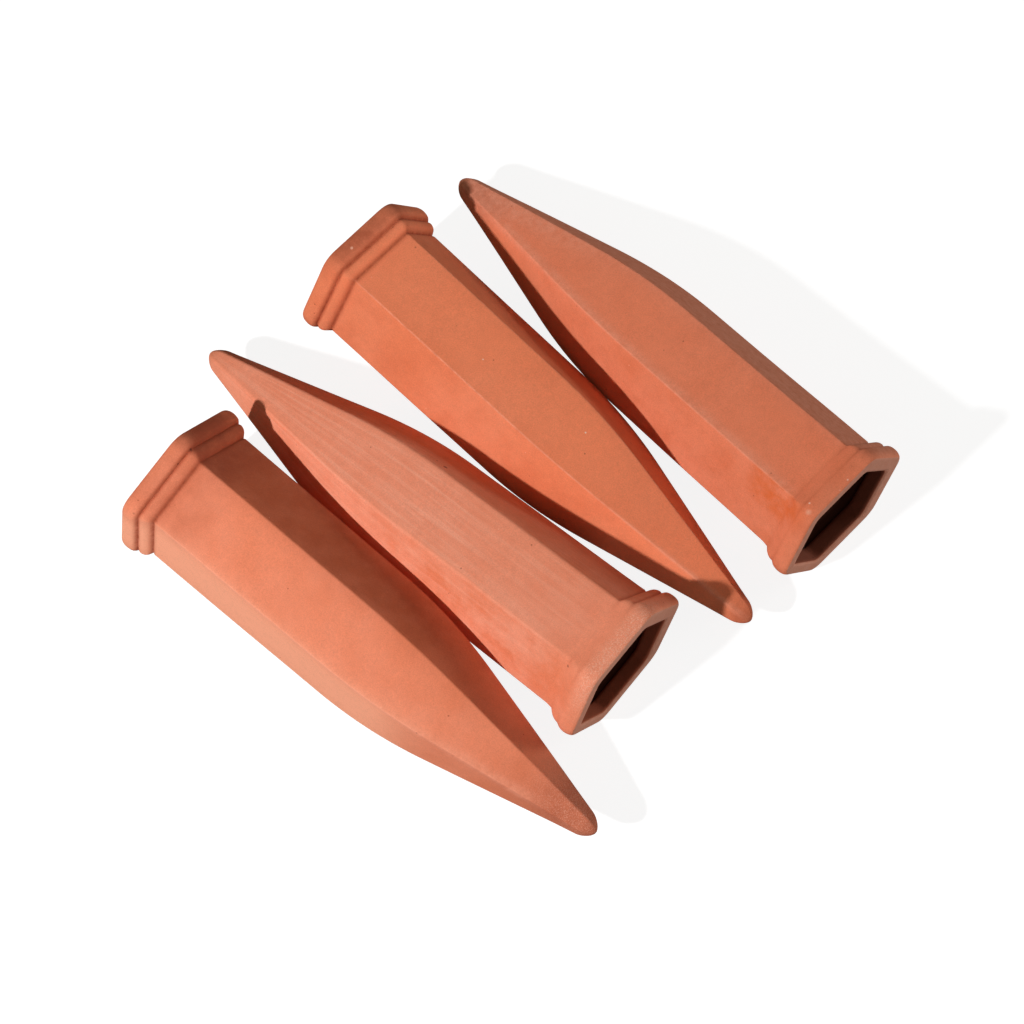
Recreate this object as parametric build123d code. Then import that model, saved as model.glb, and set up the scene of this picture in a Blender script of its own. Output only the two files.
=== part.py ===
from build123d import *
from math import atan, cos, degrees, pi, radians, sin, tan
import os

# A row of four watering spikes of unglazed fired clay, laid head to tail on a flat surface.
# Each spike is one hollow six-sided body with an open mouth behind a collar of two beads. Lengths
# are in millimetres. A radius of a six-sided section is the distance from its axis to its corner
# before the corner is rounded, and places along a spike are counted from the flat rim of its mouth.

# Body and point
SPIKE_LENGTH = 180.0
BODY_RADIUS = 24.5
SHOULDER_RADIUS = 23.5
SHOULDER_PLACE = 102.0
SHOULDER_BLEND = 20.0
BODY_CORNER = 1.6
TIP_RADIUS = 3.4
TIP_LENGTH = 5.0

# Collar: the lip bead at the rim and a smaller bead behind it
LIP_LENGTH = 6.3
LIP_HEIGHT = 4.7
LIP_CREST = 3.0
LIP_EDGE = 1.6
LIP_CORNER = 6.5
BEAD_LENGTH = 4.6
BEAD_HEIGHT = 2.8
BEAD_CORNER = 3.0

# Mouth and cavity: behind the mouth's edge the cavity widens, because its wall follows the collar
MOUTH_RADIUS = 22.0
MOUTH_CORNER = 3.6
MOUTH_LENGTH = 5.5
MOUTH_SOFTENING = 0.7
RECESS_RADIUS = 23.2
RECESS_SLOPE = 0.6
RECESS_END = 11.5
WALL = 3.4
CAVITY_CORNER = 2.4
TIP_WALL = 12.0

# Counts and shares that shape the rounded stretches
SIDES = 6
LIP_STEPS = 4
BEAD_STEPS = 3
SHOULDER_STEPS = 8
TIP_STEPS = 4
SOFTENING_STEPS = 2
ROUNDEST_SHARE = 0.94
TIP_FLAT_SHARE = 0.25

# Row: where each spike lies. Angles are in degrees. A turn is the heading of its tip off the
# row's line, a lean lifts its far side off the surface, and a stagger moves its middle along the
# row's line. A clearance is the space to the next spike behind, where the two come closest.
SPIKES = ("spike_1", "spike_2", "spike_3", "spike_4")
TIP_WAYS = (1, -1, 1, -1)
TURNS = (2.0, 2.8, -1.6, -3.2)
LEANS = (20.9, 4.8, 0.8, 5.0)
STAGGER_SHARES = (0.036, -0.113, -0.018, -0.014)
CLEARANCES = (0.4, 2.8, 0.7)
STEEPEST_LOOK = 60
LOOKS_PER_DEGREE = 2

HALF_SIDE = pi / SIDES
OUTER_LENGTH = LIP_LENGTH + BEAD_LENGTH
HALF_TURN = degrees(pi)


def flat_distance(radius):
    """Distance from the axis to a flat side of a section with this corner radius."""
    return radius * cos(HALF_SIDE)


def section(place, radius, corner):
    """One rounded six-sided section, square to the axis, at a place along the spike."""
    rounding = min(corner, flat_distance(radius) * ROUNDEST_SHARE)
    outline = RegularPolygon(radius, SIDES)
    return Pos(0, 0, place) * fillet(outline.vertices(), rounding)


def skin(rings):
    """A solid through rings, each a place, a corner radius and a rounding, straight between them."""
    return loft([section(*ring) for ring in rings], ruled=True)


def quarter(steps):
    """Even angles from nothing to a quarter turn, both ends included."""
    return [pi / 2 * step / steps for step in range(steps + 1)]


def line_radius(place):
    """Corner radius of the straight body and the straight point before its end is rounded, with
    the shoulder between them rounded as a parabola that runs into both lines."""
    body_slope = (SHOULDER_RADIUS - BODY_RADIUS) / (SHOULDER_PLACE - OUTER_LENGTH)
    point_slope = (TIP_RADIUS - SHOULDER_RADIUS) / (SPIKE_LENGTH - SHOULDER_PLACE)
    if place > SHOULDER_PLACE + SHOULDER_BLEND:
        return SHOULDER_RADIUS + point_slope * (place - SHOULDER_PLACE)
    body = SHOULDER_RADIUS + body_slope * (place - SHOULDER_PLACE)
    into = max(place - (SHOULDER_PLACE - SHOULDER_BLEND), 0)
    return body + (point_slope - body_slope) * into**2 / (4 * SHOULDER_BLEND)


def shoulder_places():
    """Places of the rings through the rounded shoulder."""
    start = SHOULDER_PLACE - SHOULDER_BLEND
    return [start + 2 * SHOULDER_BLEND * step / SHOULDER_STEPS for step in range(SHOULDER_STEPS + 1)]


def collar_rings():
    """The lip's rounded front and back and the smaller bead, from the rim to the bead's foot."""
    crest_radius = BODY_RADIUS + LIP_HEIGHT
    crease_radius = BODY_RADIUS + BEAD_HEIGHT
    rings = []
    for angle in quarter(LIP_STEPS):
        radius = crest_radius - LIP_EDGE * (1 - sin(angle))
        rings.append((LIP_CREST * (1 - cos(angle)), radius, LIP_CORNER))
    for angle in quarter(LIP_STEPS)[1:]:
        place = LIP_CREST + (LIP_LENGTH - LIP_CREST) * sin(angle)
        radius = crease_radius + (crest_radius - crease_radius) * cos(angle)
        corner = BEAD_CORNER + (LIP_CORNER - BEAD_CORNER) * cos(angle)
        rings.append((place, radius, corner))
    for step in range(1, BEAD_STEPS + 1):
        along = step / BEAD_STEPS
        radius = BODY_RADIUS + BEAD_HEIGHT * (1 - along**2)
        corner = BEAD_CORNER + (BODY_CORNER - BEAD_CORNER) * along
        rings.append((LIP_LENGTH + BEAD_LENGTH * along, radius, corner))
    return rings


def tip_rings():
    """The point's end, drawn in by a quarter ellipse to a small flat."""
    rings = []
    for angle in quarter(TIP_STEPS)[:-1]:
        place = SPIKE_LENGTH - TIP_LENGTH * (1 - sin(angle))
        rings.append((place, line_radius(place) * cos(angle), BODY_CORNER))
    return rings + [(SPIKE_LENGTH, TIP_RADIUS * TIP_FLAT_SHARE, BODY_CORNER)]


def outer_rings():
    """The whole outside, from the rim to the tip."""
    shoulder = [(place, line_radius(place), BODY_CORNER) for place in shoulder_places()]
    return collar_rings() + shoulder + tip_rings()


def cavity_radius(place):
    """Corner radius of the cavity where its wall has its full thickness."""
    return line_radius(place) - WALL / cos(HALF_SIDE)


def cavity_rings():
    """The space inside: a softened mouth edge, the mouth, the recess behind it, then the wall's
    inner face."""
    rings = []
    for angle in quarter(SOFTENING_STEPS):
        radius = MOUTH_RADIUS + MOUTH_SOFTENING * (1 - sin(angle))
        rings.append((MOUTH_SOFTENING * sin(angle), radius, MOUTH_CORNER))
    rings.append((MOUTH_LENGTH, MOUTH_RADIUS, MOUTH_CORNER))
    rings.append((MOUTH_LENGTH + RECESS_SLOPE, RECESS_RADIUS, MOUTH_CORNER))
    for place in [RECESS_END] + shoulder_places():
        rings.append((place, cavity_radius(place), CAVITY_CORNER))
    floor = SPIKE_LENGTH - TIP_WALL
    for angle in quarter(TIP_STEPS)[:-1]:
        place = floor - TIP_LENGTH * (1 - sin(angle))
        rings.append((place, cavity_radius(place) * cos(angle), CAVITY_CORNER))
    return rings


def spike():
    """One spike standing on its mouth, with its axis along Z."""
    return skin(outer_rings()) - skin(cavity_rings())


def reach(radius, corner, look):
    """How far a rounded section reaches from its axis, in a direction given in degrees from one
    of its corners."""
    side = degrees(2 * HALF_SIDE)
    off_corner = (look + side / 2) % side - side / 2
    rounding = min(corner, flat_distance(radius) * ROUNDEST_SHARE)
    centre = (flat_distance(radius) - rounding) / cos(HALF_SIDE)
    return centre * cos(radians(off_corner)) + rounding


def pitch(lean):
    """How far the axis of a lying spike falls towards its tip, in degrees, when the crest of its
    lip and its shoulder both touch the surface."""
    down = -HALF_TURN / 2 - lean
    lip_reach = reach(BODY_RADIUS + LIP_HEIGHT, LIP_CORNER, down)
    falls = []
    for place in shoulder_places():
        body_reach = reach(line_radius(place), BODY_CORNER, down)
        falls.append((lip_reach - body_reach) / (place - LIP_CREST))
    return degrees(atan(min(falls)))


class LyingSpike:
    """One spike laid on its side on the surface, with its middle on the row's centre line."""

    def __init__(self, standing, tip_way, turn, lean, stagger):
        self.tip_way = tip_way
        self.turn = turn
        self.lean = lean
        self.fall = pitch(lean)
        self.stagger = stagger
        lengthwise = Plane(origin=(0, 0, 0), x_dir=(0, 1, 0), z_dir=(1, 0, 0)).location
        centred = lengthwise * Pos(0, 0, -SPIKE_LENGTH / 2) * standing
        heading = turn if tip_way > 0 else turn + HALF_TURN
        laid = Rot(0, 0, heading) * Rot(0, self.fall, 0) * Rot(lean * tip_way, 0, 0) * centred
        self.height = -laid.bounding_box().min.Z
        self.solid = Pos(stagger, 0, self.height) * laid

    def advance(self):
        """How far along the row the axis gets for each length along the spike."""
        return self.tip_way * cos(radians(self.turn)) * cos(radians(self.fall))

    def along(self, place):
        """Where a place on the spike lies along the row."""
        return self.stagger + (place - SPIKE_LENGTH / 2) * self.advance()

    def place(self, along):
        """The place on the spike that lies at a distance along the row."""
        return SPIKE_LENGTH / 2 + (along - self.stagger) / self.advance()

    def extents(self, along, looks):
        """How far the spike extends from the row's centre line, at a distance along the row, in
        directions across the row that slope up by these angles in degrees."""
        place = self.place(along)
        if not 0 <= place <= SPIKE_LENGTH:
            return None
        radius, corner = ring_at(place)
        across = (along - self.stagger) * tan(radians(self.turn))
        up = self.height - (place - SPIKE_LENGTH / 2) * sin(radians(self.fall))
        extents = []
        for look in looks:
            axis = across * cos(radians(look)) + up * sin(radians(look))
            extents.append(axis + reach(radius, corner, look - self.lean))
        return extents


def ring_at(place):
    """Corner radius and rounding of the outside at any place, straight between its rings."""
    rings = outer_rings()
    for (before, *near), (after, *far) in zip(rings, rings[1:]):
        if place <= after:
            share = (place - before) / (after - before)
            return [a + (b - a) * share for a, b in zip(near, far)]
    return rings[-1][1:]


def spacing(front, back, clearance):
    """How far apart across the row the middles of two neighbours lie when they keep a clearance.
    In each plane across the row they are clear once they are clear in one direction, level or
    sloping, so the least spacing over the directions counts, and then the most over the planes."""
    count = STEEPEST_LOOK * LOOKS_PER_DEGREE
    looks = [step / LOOKS_PER_DEGREE for step in range(-count, count + 1)]
    back_looks = [look + HALF_TURN for look in looks]
    planes = [spike.along(place) for spike in (front, back) for place, *_ in outer_rings()]
    needed = []
    for along in planes:
        front_extents = front.extents(along, looks)
        back_extents = back.extents(along, back_looks)
        if front_extents and back_extents:
            pairs = zip(looks, front_extents, back_extents)
            needed.append(min((a + b + clearance) / cos(radians(look)) for look, a, b in pairs))
    return max(needed)


def row():
    """All four spikes side by side, each resting on the surface, centred on the origin."""
    standing = spike()
    lying = []
    for tip_way, turn, lean, share in zip(TIP_WAYS, TURNS, LEANS, STAGGER_SHARES):
        lying.append(LyingSpike(standing, tip_way, turn, lean, SPIKE_LENGTH * share))
    across = [0]
    for front, back, clearance in zip(lying, lying[1:], CLEARANCES):
        across.append(across[-1] + spacing(front, back, clearance))
    placed = [Pos(0, place, 0) * laid.solid for laid, place in zip(lying, across)]
    box = Compound(placed).bounding_box()
    middle = Pos(-box.center().X, -box.center().Y, 0)
    return {name: middle * solid for name, solid in zip(SPIKES, placed)}


os.makedirs("parts", exist_ok=True)
for node, solid in row().items():
    export_step(solid, f"parts/{node}.step")
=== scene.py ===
import logging
import math
from dataclasses import dataclass, field
from enum import Enum
from functools import cached_property

import bpy
import numpy as np
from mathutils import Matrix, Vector


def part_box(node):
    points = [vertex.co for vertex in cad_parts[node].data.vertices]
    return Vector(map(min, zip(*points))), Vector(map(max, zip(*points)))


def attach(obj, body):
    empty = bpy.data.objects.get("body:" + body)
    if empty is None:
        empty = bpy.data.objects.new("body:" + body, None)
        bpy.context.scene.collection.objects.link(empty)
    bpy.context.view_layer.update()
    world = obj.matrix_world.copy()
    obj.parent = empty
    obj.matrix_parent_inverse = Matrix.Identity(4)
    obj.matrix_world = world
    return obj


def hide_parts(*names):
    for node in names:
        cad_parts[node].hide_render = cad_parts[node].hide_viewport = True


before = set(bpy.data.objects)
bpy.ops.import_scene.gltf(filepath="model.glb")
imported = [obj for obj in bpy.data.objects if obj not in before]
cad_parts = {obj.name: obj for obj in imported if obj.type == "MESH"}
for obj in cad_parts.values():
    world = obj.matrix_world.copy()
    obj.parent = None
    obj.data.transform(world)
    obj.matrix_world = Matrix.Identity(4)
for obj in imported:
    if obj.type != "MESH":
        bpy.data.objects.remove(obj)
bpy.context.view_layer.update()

MM = 0.001
SIDES = 6
SIDE_DEGREES = 360 / SIDES
HALF_SIDE = math.pi / SIDES
FLAT_SHARE = math.cos(HALF_SIDE)

log = logging.getLogger("watering_spikes")

Array = np.ndarray
Triple = tuple[float, float, float]
Colour = Triple
Socket = bpy.types.NodeSocket
Input = Socket | Colour | Vector | float


def linear(colour: Colour) -> Colour:
    """A screen colour in linear light: c / 12.92 up to 0.04045, then ((c + 0.055) / 1.055)^2.4."""
    c = np.array(colour) / 255
    return tuple(np.where(c <= 0.04045, c / 12.92, ((c + 0.055) / 1.055) ** 2.4).tolist())


def quarter(steps: int) -> Array:
    """Even angles from nothing to a quarter turn, both ends included."""
    return np.linspace(0, math.pi / 2, steps + 1)


def stretched(stops: tuple[float, ...], steps: tuple[int, ...]) -> Array:
    """Places from each stop to the next in even steps, without the first stop."""
    runs = zip(stops, stops[1:], steps)
    return np.concatenate([np.linspace(a, b, count + 1)[1:] for a, b, count in runs])


def smooth_step(values: Array, low: float, high: float) -> Array:
    """Goes from 0 at low to 1 at high along 3s^2 - 2s^3, and stays flat outside."""
    share = np.clip((values - low) / (high - low), 0, 1)
    return share * share * (3 - 2 * share)


def off_look(degrees: Array, look: float) -> Array:
    """How far directions lie from a look, in degrees from -180 to 180."""
    return (degrees - look + 180) % 360 - 180


class Axis(Enum):
    """The axis of a turn."""

    X = 0
    Y = 1
    Z = 2


class Heading(Enum):
    """Which way a spike's tip points in the row."""

    RIGHT = 1
    LEFT = -1


class Pattern(Enum):
    """The place that a pattern follows: the spike's own, or one as wide at the tip as elsewhere."""

    OWN = "clay_place"
    EVEN = "even_place"


class Layer(Enum):
    """Per-vertex finish, painted light and shade included, each from 0 to 1 over the surface."""

    # Painted light: tops and faces turned to the key lamp made paler
    PALED = "paled"
    # Paler worn ridges, and painted bounce light on the back spike's shaded face
    RUBBED = "rubbed"
    # Redder clay at lips and tips, and painted shade on the front spike's shaded collar
    REDDENED = "reddened"
    # Painted shade on the front spike's face turned away from the key lamp, and a browner tip
    BROWNED = "browned"
    SANDY = "sandy"
    STAINED = "stained"
    STREAKED = "streaked"
    # Paler rim land, with a painted highlight over the mouth's rounded inner edge
    LAND = "land"
    # Painted shade: the cavity darker, and darker still from the mouth's end on
    INSIDE = "inside"
    DEEP = "deep"
    # Painted shade in the tooled creases, less where they are filled
    CREASE = "crease"


@dataclass(frozen=True)
class Mark:
    """A patch of different clay, of wear, of painted light or of painted shade, long and
    soft-edged, with its lengths in millimetres.

    A look is the direction from the axis across the row, in degrees: 0 to the back, 90 up and
    180 to the front, for a spike that lies flat. Ridges lie at 0, 60, 120 and 180, and the
    middles of faces at 30, 90 and 150.
    """

    layer: Layer
    start: float
    end: float
    look: float
    breadth: float
    strength: float
    softness: float = 6


@dataclass(frozen=True)
class Fill:
    """Clay smeared over the collar's creases, towards one look."""

    look: float
    breadth: float
    strength: float


@dataclass(frozen=True)
class Fleck:
    """A small spot of paler clay, or a pit that holds dirt, with its lengths in millimetres."""

    place: float
    look: float
    reach: float
    colour: Colour
    strength: float = 0.8
    depth: float = 0


@dataclass(frozen=True)
class Rings:
    """Rounded six-sided rings along a spike: places, corner radii and corner roundings."""

    place: Array
    radius: Array
    corner: Array

    def softened(self, passes: int) -> "Rings":
        """Rounds off hard corners of the profile.

        Args:
            passes: How many times each inner ring takes a quarter of both its neighbours.

        Returns:
            The softened rings, with the first and last unchanged.
        """
        values = np.stack((self.place, self.radius, self.corner))
        for _ in range(passes):
            inner = values[:, :-2] / 4 + values[:, 1:-1] / 2 + values[:, 2:] / 4
            values = np.concatenate((values[:, :1], inner, values[:, -1:]), axis=1)
        return Rings(*values)


def joined(*parts: Rings) -> Rings:
    """Puts stretches of rings one after another."""
    rows = zip(*((part.place, part.radius, part.corner) for part in parts))
    return Rings(*(np.concatenate(row) for row in rows))


@dataclass(frozen=True)
class SpikeShape:
    """Sizes that every spike shares, in metres, and how many steps of rings each stretch has.

    Places count from the flat rim of the mouth, and a radius is the distance from the axis to a
    corner before the corner is rounded.
    """

    length: float = 180.0 * MM
    body_radius: float = 24.5 * MM
    shoulder_radius: float = 23.5 * MM
    shoulder_place: float = 102.0 * MM
    shoulder_blend: float = 20.0 * MM
    body_corner: float = 1.6 * MM
    tip_radius: float = 3.4 * MM
    tip_length: float = 5.0 * MM
    lip_length: float = 6.3 * MM
    lip_height: float = 4.7 * MM
    lip_crest: float = 3.0 * MM
    lip_edge: float = 1.6 * MM
    lip_corner: float = 6.5 * MM
    bead_length: float = 4.6 * MM
    bead_height: float = 2.8 * MM
    bead_corner: float = 3.0 * MM
    mouth_radius: float = 22.0 * MM
    mouth_corner: float = 3.6 * MM
    mouth_length: float = 5.5 * MM
    mouth_softening: float = 0.7 * MM
    recess_radius: float = 23.2 * MM
    recess_slope: float = 0.6 * MM
    recess_end: float = 11.5 * MM
    wall: float = 3.4 * MM
    cavity_corner: float = 2.4 * MM
    tip_wall: float = 12.0 * MM
    groove_depth: float = 0.38 * MM
    groove_breadth: float = 0.75 * MM
    smear_run: float = 3.0 * MM
    roundest_share: float = 0.94
    collar_passes: int = 1
    tip_steps: int = 14
    body_steps: tuple[int, int, int] = (56, 52, 88)
    bead_steps: int = 24
    lip_steps: int = 12
    land_steps: int = 6
    edge_steps: int = 5
    recess_steps: tuple[int, int, int] = (6, 6, 6)
    wall_steps: tuple[int] = (39,)
    end_steps: int = 8
    rest_steps: int = 80

    @property
    def collar_end(self) -> float:
        """Place of the foot of the smaller bead."""
        return self.lip_length + self.bead_length

    @property
    def smear_end(self) -> float:
        """Place where clay smeared over the creases runs out on the body."""
        return self.collar_end + self.smear_run

    @property
    def land_radius(self) -> float:
        """Corner radius of the lip's edge, where the flat land of the rim begins."""
        return self.body_radius + self.lip_height - self.lip_edge

    @property
    def land_run(self) -> float:
        """Change of the corner radius across the land, from its outer edge to its inner one."""
        return self.mouth_radius + self.mouth_softening - self.land_radius

    def line_radius(self, place: Array) -> Array:
        """Corner radius of the plain body, shoulder and point, before the tip is rounded.

        Two straight lines meet at the shoulder's place, where a parabola runs from one to the
        other over the blend's length on both sides.

        Args:
            place: Places along the spike.

        Returns:
            The corner radius at each.
        """
        past = place - self.shoulder_place
        body_run = self.shoulder_place - self.collar_end
        body_slope = (self.shoulder_radius - self.body_radius) / body_run
        point_run = self.length - self.shoulder_place
        point_slope = (self.tip_radius - self.shoulder_radius) / point_run
        into = np.maximum(past + self.shoulder_blend, 0)
        bend = (point_slope - body_slope) * into**2 / (4 * self.shoulder_blend)
        body = self.shoulder_radius + body_slope * past + bend
        point = self.shoulder_radius + point_slope * past
        return np.where(past > self.shoulder_blend, point, body)

    def cavity_radius(self, place: Array) -> Array:
        """Corner radius of the cavity, one wall inside the plain body."""
        return self.line_radius(place) - self.wall / FLAT_SHARE

    def tip(self) -> Rings:
        """The rounded end, whose quarter ellipse draws the point's line in.

        Returns:
            The rings, from the pole to the point.
        """
        angle = quarter(self.tip_steps)[:-1][::-1]
        place = self.length - self.tip_length * (1 - np.sin(angle))
        radius = self.line_radius(place) * np.cos(angle)
        return Rings(place, radius, np.full_like(place, self.body_corner))

    def body(self) -> Rings:
        """The point, shoulder and body, along the plain lines.

        Returns:
            The rings, from the tip's foot to the collar's.
        """
        stops = (self.length - self.tip_length, self.shoulder_place + self.shoulder_blend,
                 self.shoulder_place - self.shoulder_blend, self.collar_end)
        place = stretched(stops, self.body_steps)[:-1]
        return Rings(place, self.line_radius(place), np.full_like(place, self.body_corner))

    def collar(self) -> Rings:
        """The smaller bead, the lip and the rim's outer edge.

        The bead falls off as a cubic towards the body. The lip's back and front are quarter
        ellipses that meet at its crest.

        Returns:
            The rings, from the body to the rim.
        """
        crest = self.body_radius + self.lip_height
        crease = self.body_radius + self.bead_height
        along = np.linspace(1, 0, self.bead_steps + 1)
        bead = Rings(self.lip_length + self.bead_length * along,
                     self.body_radius + self.bead_height * (1 - along**3),
                     self.bead_corner + (self.body_corner - self.bead_corner) * along)
        angle = quarter(self.lip_steps)[::-1][1:]
        back = Rings(self.lip_crest + (self.lip_length - self.lip_crest) * np.sin(angle),
                     crease + (crest - crease) * np.cos(angle),
                     self.bead_corner + (self.lip_corner - self.bead_corner) * np.cos(angle))
        front = Rings(self.lip_crest * (1 - np.cos(angle)),
                      crest - self.lip_edge * (1 - np.sin(angle)),
                      np.full_like(angle, self.lip_corner))
        plain = joined(bead, back, front).softened(self.collar_passes)
        return Rings(plain.place, plain.radius - self.grooves(plain.place), plain.corner)

    def grooves(self, place: Array) -> Array:
        """Depth of the two tooled creases, a bell exp(-(off / breadth)^2) at each bead's foot."""
        off = np.stack((place - self.lip_length, place - self.collar_end)) / self.groove_breadth
        return self.groove_depth * np.exp(-(off**2)).sum(axis=0)

    def rim(self) -> Rings:
        """The flat land, straight across at the rim.

        Returns:
            The rings, from the lip's edge to the mouth's.
        """
        share = np.linspace(0, 1, self.land_steps + 1)[1:-1]
        return Rings(np.zeros_like(share), self.land_radius + self.land_run * share,
                     self.lip_corner + (self.mouth_corner - self.lip_corner) * share)

    def recess(self) -> Rings:
        """The straight mouth, the step out behind it and the straight line in to the wall.

        Returns:
            The rings, from the mouth's softened edge to the inner wall.
        """
        throat = float(self.cavity_radius(np.array(self.recess_end)))
        widest = self.mouth_length + self.recess_slope
        stops = (self.mouth_softening, self.mouth_length, widest, self.recess_end)
        place = stretched(stops, self.recess_steps)
        radii = (self.mouth_radius, self.mouth_radius, self.recess_radius, throat)
        corners = (self.mouth_corner, self.mouth_corner, self.mouth_corner, self.cavity_corner)
        return Rings(place, np.interp(place, stops, radii), np.interp(place, stops, corners))

    def cavity(self) -> Rings:
        """The space inside: the mouth's softened edge, the recess, the wall and the rounded end.

        Returns:
            The rings, from the rim to the cavity's pole.
        """
        angle = quarter(self.edge_steps)
        edge = Rings(self.mouth_softening * np.sin(angle),
                     self.mouth_radius + self.mouth_softening * (1 - np.sin(angle)),
                     np.full_like(angle, self.mouth_corner))
        floor = self.length - self.tip_wall
        place = stretched((self.recess_end, floor - self.tip_length), self.wall_steps)
        wall = Rings(place, self.cavity_radius(place), np.full_like(place, self.cavity_corner))
        angle = quarter(self.end_steps)[1:-1]
        place = floor - self.tip_length * (1 - np.sin(angle))
        radius = self.cavity_radius(place) * np.cos(angle)
        end = Rings(place, radius, np.full_like(place, self.cavity_corner))
        return joined(edge, self.recess(), wall, end)

    def smeared_radius(self, place: Array) -> Array:
        """Corner radius with filled creases, half a cosine wave from lip's crest to body."""
        share = np.clip((place - self.lip_crest) / (self.smear_end - self.lip_crest), 0, 1)
        return self.line_radius(place) + self.lip_height * (1 + np.cos(math.pi * share)) / 2

    def reach(self, radius: Array, corner: float, look: float) -> Array:
        """How far rounded rings reach from the axis.

        Args:
            radius: Corner radii of the rings.
            corner: Their corner rounding.
            look: The direction, in degrees from one of their corners.

        Returns:
            The distance: the rounding's centre projected on the direction, plus the rounding.
        """
        off_corner = (look + SIDE_DEGREES / 2) % SIDE_DEGREES - SIDE_DEGREES / 2
        flat = radius * FLAT_SHARE
        rounding = np.minimum(corner, flat * self.roundest_share)
        centre = (flat - rounding) / FLAT_SHARE
        return centre * math.cos(math.radians(off_corner)) + rounding

    def fall(self, lean: float) -> float:
        """How far the axis falls towards the tip, where the lip's crest and the shoulder both
        touch the floor.

        Args:
            lean: How far the far side is lifted off the floor, in degrees.

        Returns:
            The least slope from the crest to any place of the shoulder, in degrees.
        """
        down = -90 - lean
        crest_radius = np.array(self.body_radius + self.lip_height)
        crest = self.reach(crest_radius, self.lip_corner, down)
        place = np.linspace(-1, 1, self.rest_steps + 1) * self.shoulder_blend + self.shoulder_place
        shoulder = self.reach(self.line_radius(place), self.body_corner, down)
        return math.degrees(math.atan(float(np.min((crest - shoulder) / (place - self.lip_crest)))))


@dataclass(frozen=True)
class Outline:
    """The outline of a rounded six-sided ring, taken apart.

    A point of a ring is distance * sharp + rounding * outward: sharp runs round a six-sided
    outline whose corners lie at a distance of 1, and outward is the unit normal there.
    """

    sharp: Array
    outward: Array
    degrees: Array

    @classmethod
    def made(cls, flat_steps: int = 30, arc_steps: int = 5, crowding: float = 0.85,
             rounding: float = 0.25) -> "Outline":
        """Samples the outline once round.

        Steps along a side crowd towards its ends, at even - crowding * sin(2 pi even) / 2 pi, so
        that smooth shading turns within the rounded corner.

        Args:
            flat_steps, arc_steps: Steps along each side, and round each corner.
            crowding: How strongly they crowd, from 0 to 1.
            rounding: A share of the distance, for which the points' directions are taken.

        Returns:
            The outline, with each point's direction from the centre in degrees.
        """
        arc = np.linspace(-HALF_SIDE, HALF_SIDE, arc_steps + 1)
        even = np.arange(flat_steps) / flat_steps
        flat = even - crowding * np.sin(2 * math.pi * even) / (2 * math.pi)
        share = np.concatenate((np.zeros(arc_steps), flat))
        normal = np.concatenate((arc[:-1], np.full(flat_steps, HALF_SIDE)))
        here = 2 * HALF_SIDE * np.arange(SIDES)[:, None]
        after = here + 2 * HALF_SIDE
        sharp = np.stack([turn(here) * (1 - share) + turn(after) * share
                          for turn in (np.cos, np.sin)], -1)
        angle = here + normal
        outward = np.stack((np.cos(angle), np.sin(angle)), -1)
        sharp, outward = sharp.reshape(-1, 2), outward.reshape(-1, 2)
        rounded = sharp + outward * rounding
        return cls(sharp, outward, np.degrees(np.arctan2(rounded[:, 1], rounded[:, 0])))

    def all_round(self, values: Array) -> Array:
        """Repeats the value of each ring at every point round it."""
        return np.repeat(values[:, None], len(self.degrees), axis=1)


def turned(axis: Axis, degrees: float) -> Array:
    """The matrix of a right-handed turn.

    Args:
        axis: The axis of the turn.
        degrees: Its angle.

    Returns:
        A matrix of 3 by 3: the cosine twice on the diagonal, the sine and its negative beside it.
    """
    c, s = math.cos(math.radians(degrees)), math.sin(math.radians(degrees))
    matrix = np.eye(3)
    first, second = (axis.value + 1) % 3, (axis.value + 2) % 3
    matrix[first, first] = matrix[second, second] = c
    matrix[first, second], matrix[second, first] = -s, s
    return matrix


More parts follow.
